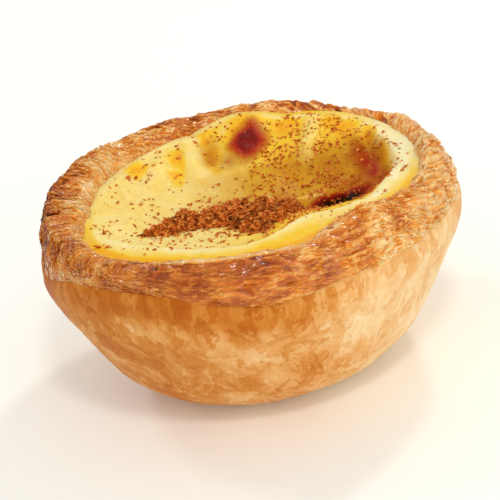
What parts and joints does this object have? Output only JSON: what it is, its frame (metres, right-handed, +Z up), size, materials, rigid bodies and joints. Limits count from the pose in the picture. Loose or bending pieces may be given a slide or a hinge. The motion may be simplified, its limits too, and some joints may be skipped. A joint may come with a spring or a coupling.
{
  "type": "egg tart",
  "caption": "Deep round puff pastry tart case filled with baked egg custard that has sunk in the middle, with ground cinnamon shaken over it.",
  "frame": {"origin": "centre of the flat foot that the tart stands on", "axes": "+Z up through the middle of the tart; +X towards the side where the custard has sunk deepest; -Y towards the side that is shown in front"},
  "size_m": [0.0737, 0.0738, 0.037],
  "materials": {
    "pastry": "baked puff pastry, matte to satin, pale gold wall and browned rim",
    "custard": "smooth baked egg custard, moist satin, with browned patches",
    "cinnamon": "coarse ground cinnamon, matte"
  },
  "bodies": {
    "root": {"crust": "pastry", "custard": "custard"}
  },
  "joints": []
}
